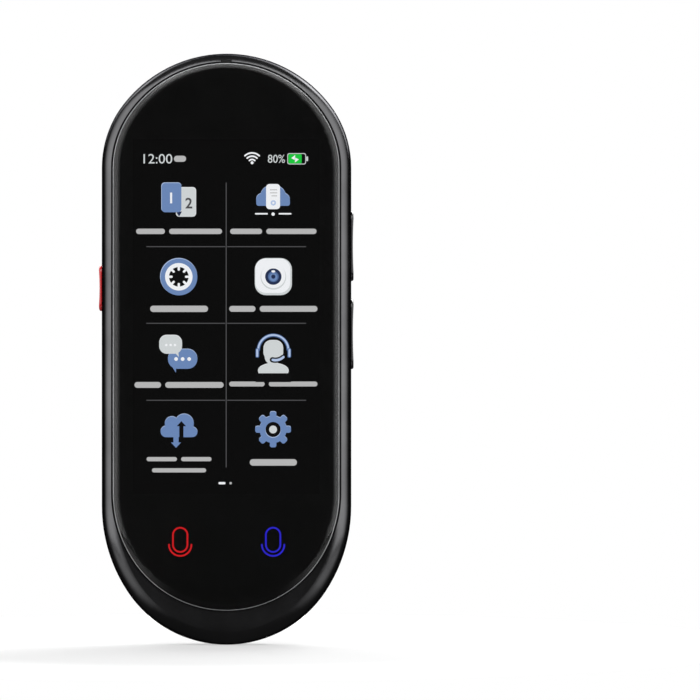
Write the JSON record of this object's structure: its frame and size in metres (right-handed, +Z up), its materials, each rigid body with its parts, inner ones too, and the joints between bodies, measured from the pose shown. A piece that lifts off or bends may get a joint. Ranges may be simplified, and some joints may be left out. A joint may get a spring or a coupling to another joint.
{
  "type": "handheld translator",
  "caption": "Slim pocket voice translator with rounded ends, touch screen, pressing side keys, rear camera and speaker grille.",
  "frame": {"origin": "middle of the lowest point of the bottom end, with the thickness centred on y = 0", "axes": "+Z up the long axis to the top end, -Y out of the screen, +Y out of the back, +X to the right as seen by a person looking at the screen"},
  "size_m": [0.0548, 0.0131, 0.127],
  "materials": {
    "frame_plastic": "satin black, softly glossy",
    "cover_glass": "black printed cover glass with a rounded edge",
    "adhesive": "thin black adhesive",
    "display_glass": "dark display cell",
    "steel": "pressed sheet steel",
    "foam": "black foam",
    "flex": "amber flexible circuit",
    "board": "green circuit board",
    "lamp": "small light-emitting diode",
    "mid_plastic": "black moulded frame",
    "cover_plastic": "satin black with a very fine texture",
    "bezel": "black anodised ring with a bright chamfer",
    "camera_glass": "coated optical glass",
    "inner_plastic": "black moulded plastic",
    "mesh": "black woven dust mesh",
    "chip": "black chip package",
    "cell": "silver pouch",
    "nickel": "nickel strip",
    "screw_steel": "dark zinc-plated steel",
    "key_plastic": "glossy black",
    "light_red": "red light strip",
    "light_blue": "pale blue light strip",
    "red_plastic": "glossy red"
  },
  "bodies": {
    "housing": {"battery": "cell", "battery_lead": "nickel", "battery_plug": "inner_plastic", "battery_tape": "adhesive", "board_chips": "chip", "board_link_flex": "flex", "board_screws": "screw_steel", "bottom_microphone": "steel", "camera_barrel": "inner_plastic", "camera_bezel": "bezel", "camera_flex": "flex", "camera_lens": "camera_glass", "camera_module": "inner_plastic", "camera_window": "camera_glass", "charging_socket": "steel", "cover_glass": "cover_glass", "display_backlight": "steel", "display_flex": "flex", "display_foam": "foam", "display_panel": "display_glass", "front_frame": "frame_plastic", "glass_adhesive": "adhesive", "loudspeaker": "inner_plastic", "lower_board": "board", "lower_key_board": "board", "lower_switch": "steel", "main_board": "board", "mid_frame": "mid_plastic", "rear_cover": "cover_plastic", "rear_seal": "foam", "red_key_board": "board", "red_switch": "steel", "rim_screws": "screw_steel", "shield_cans": "steel", "socket_tongue": "inner_plastic", "speaker_gasket": "foam", "speaker_mesh": "mesh", "top_microphone": "steel", "top_slit_mesh": "mesh", "touch_key_board": "board", "touch_key_lamps": "lamp", "upper_key_board": "board", "upper_switch": "steel", "vibration_motor": "steel", "wireless_antenna": "flex"},
    "upper_key": {"upper_key": "key_plastic", "upper_key_light": "light_red", "upper_switch_pin": "inner_plastic"},
    "lower_key": {"lower_key": "key_plastic", "lower_key_light": "light_blue", "lower_switch_pin": "inner_plastic"},
    "red_key": {"red_key": "red_plastic", "red_switch_pin": "inner_plastic"}
  },
  "joints": [
    {"name": "upper_key_press", "type": "slide", "parent": "housing", "child": "upper_key", "axis": [-1, 0, 0], "range_m": [0, 0.0004], "stiffness_N_per_m": 4000, "springref_m": -0.0002},
    {"name": "lower_key_press", "type": "slide", "parent": "housing", "child": "lower_key", "axis": [-1, 0, 0], "range_m": [0, 0.0004], "stiffness_N_per_m": 4000, "springref_m": -0.0002},
    {"name": "red_key_press", "type": "slide", "parent": "housing", "child": "red_key", "axis": [1, 0, 0], "range_m": [0, 0.0004], "stiffness_N_per_m": 4000, "springref_m": -0.0002}
  ]
}
